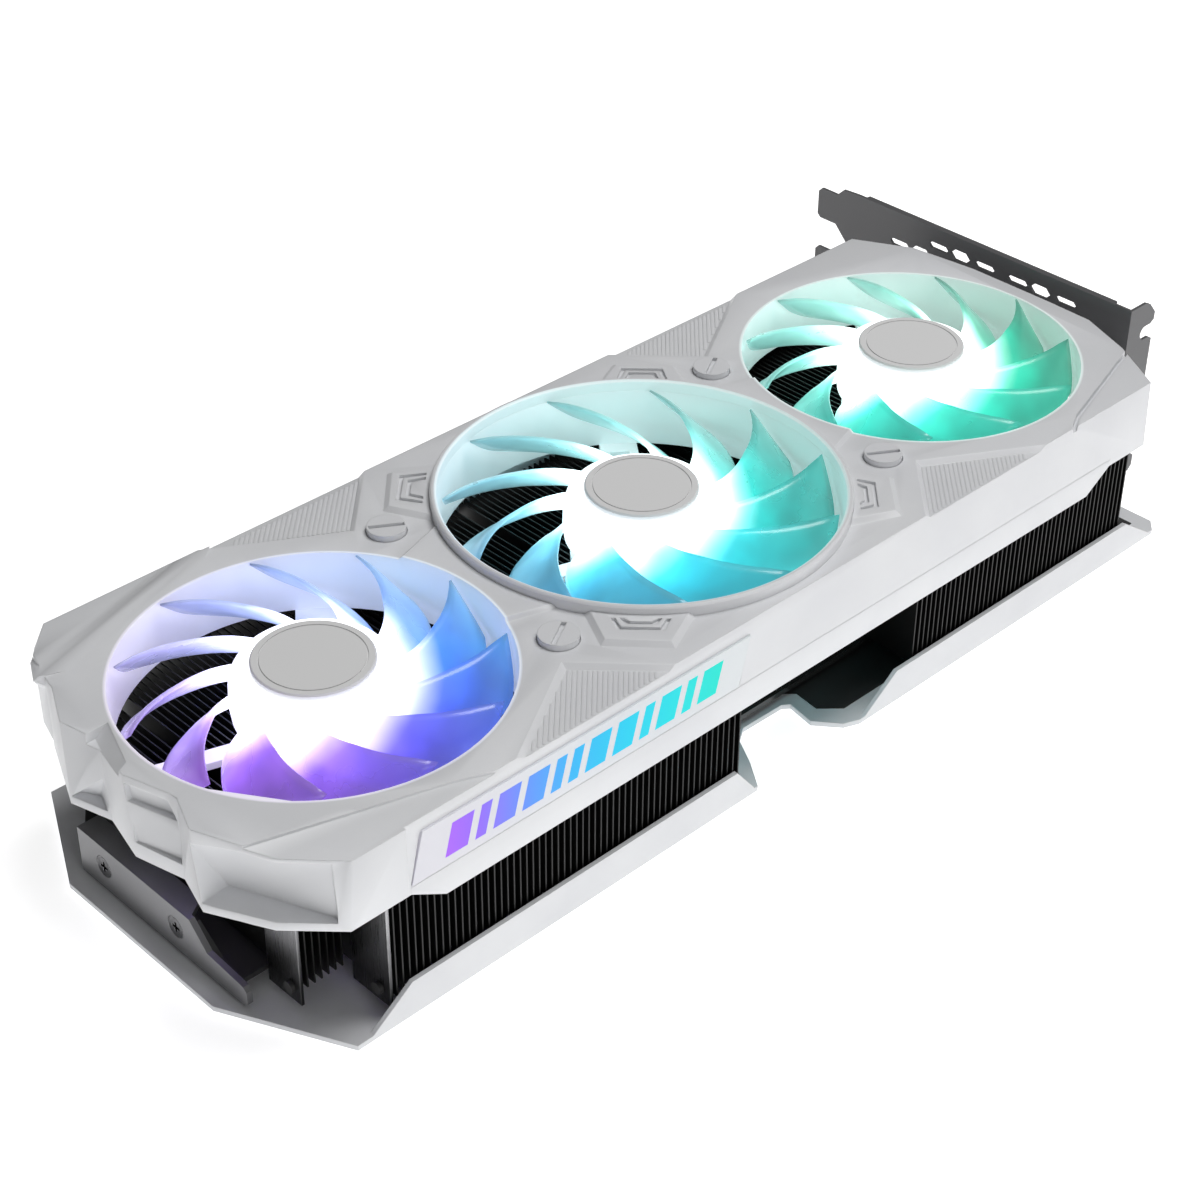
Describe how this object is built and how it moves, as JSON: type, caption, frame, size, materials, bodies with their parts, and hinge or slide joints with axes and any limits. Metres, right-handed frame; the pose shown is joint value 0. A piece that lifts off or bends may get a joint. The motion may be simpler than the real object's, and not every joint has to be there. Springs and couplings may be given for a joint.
{
  "type": "graphics card",
  "caption": "Long white graphics card: faceted shroud over finned heatsink, translucent lit fans, backplate and multi-slot bracket.",
  "frame": {"origin": "on the outer face of the backplate, under the middle fan axis", "axes": "+Z towards the fans, +X along the card towards the slot bracket, +Y towards the slot contacts"},
  "size_m": [0.3455, 0.1462, 0.0596],
  "materials": {
    "aluminium": "can",
    "black_film": "thin film",
    "black_fin": "black coated fins with bright edges",
    "black_metal": "black coated steel",
    "black_plastic": "black moulded plastic",
    "board_black": "black solder mask",
    "bracket_metal": "gunmetal coat",
    "brass": "sintered bearing",
    "bright_steel": "bright steel",
    "brushed_bar": "dark brushed steel",
    "cap_grey": "light grey satin",
    "choke_grey": "pressed ferrite",
    "copper": "enamelled copper windings",
    "dark_steel": "black oxide",
    "frosted_blade": "frosted translucent plastic, lit from the hub",
    "gold": "gold plate",
    "lead_rubber": "black sleeve",
    "light_diffuser": "translucent white, lit from behind",
    "nickel": "nickel plate",
    "package_green": "chip carrier",
    "pad_grey": "soft thermal pad",
    "silicon": "polished die",
    "white_metal": "satin white powder coat",
    "white_plastic": "satin white moulded plastic"
  },
  "bodies": {
    "card": {"backplate": "white_metal", "backplate_screws": "bright_steel", "bearing_bracket": "brass", "bearing_middle": "brass", "bearing_tail": "brass", "bracket_screws": "bright_steel", "capacitors": "aluminium", "chip_die": "silicon", "chip_package": "package_green", "circuit_board": "board_black", "cold_plate": "nickel", "display_sockets": "bright_steel", "display_tongues": "black_plastic", "edge_contacts": "gold", "end_plate_screws": "dark_steel", "fan_frame_bracket": "white_plastic", "fan_frame_middle": "white_plastic", "fan_frame_tail": "white_plastic", "fan_lead_bracket": "lead_rubber", "fan_lead_middle": "lead_rubber", "fan_lead_tail": "lead_rubber", "fin_end_plates": "bright_steel", "fin_stack_bracket": "black_fin", "fin_stack_middle": "black_fin", "fin_stack_tail": "black_fin", "heat_pipes": "nickel", "insulating_film": "black_film", "lead_plugs": "black_plastic", "light_diffuser": "light_diffuser", "light_strip": "board_black", "memory_chips": "black_plastic", "power_chokes": "choke_grey", "power_pins": "gold", "power_socket": "black_plastic", "power_stages": "black_plastic", "retainer_screws": "bright_steel", "retention_plate": "bright_steel", "ring_trim": "white_plastic", "shroud": "white_plastic", "slot_bracket": "bracket_metal", "slotted_bosses": "white_plastic", "stator_bracket": "copper", "stator_middle": "copper", "stator_tail": "copper", "support_bar_screws": "bright_steel", "support_frame": "black_metal", "tail_support_bar": "brushed_bar", "thermal_pads": "pad_grey"},
    "fan_tail": {"rotor_tail": "frosted_blade", "hub_cap_tail": "cap_grey", "magnet_ring_tail": "dark_steel", "shaft_tail": "bright_steel"},
    "fan_middle": {"rotor_middle": "frosted_blade", "hub_cap_middle": "cap_grey", "magnet_ring_middle": "dark_steel", "shaft_middle": "bright_steel"},
    "fan_bracket": {"rotor_bracket": "frosted_blade", "hub_cap_bracket": "cap_grey", "magnet_ring_bracket": "dark_steel", "shaft_bracket": "bright_steel"}
  },
  "joints": [
    {"name": "tail_fan_spin", "type": "hinge", "parent": "card", "child": "fan_tail", "pos_m": [-0.108, 0, 0.048], "axis": [0, 0, 1], "continuous": true},
    {"name": "middle_fan_spin", "type": "hinge", "parent": "card", "child": "fan_middle", "pos_m": [0, 0, 0.048], "axis": [0, 0, 1], "continuous": true},
    {"name": "bracket_fan_spin", "type": "hinge", "parent": "card", "child": "fan_bracket", "pos_m": [0.108, 0, 0.048], "axis": [0, 0, 1], "continuous": true}
  ]
}
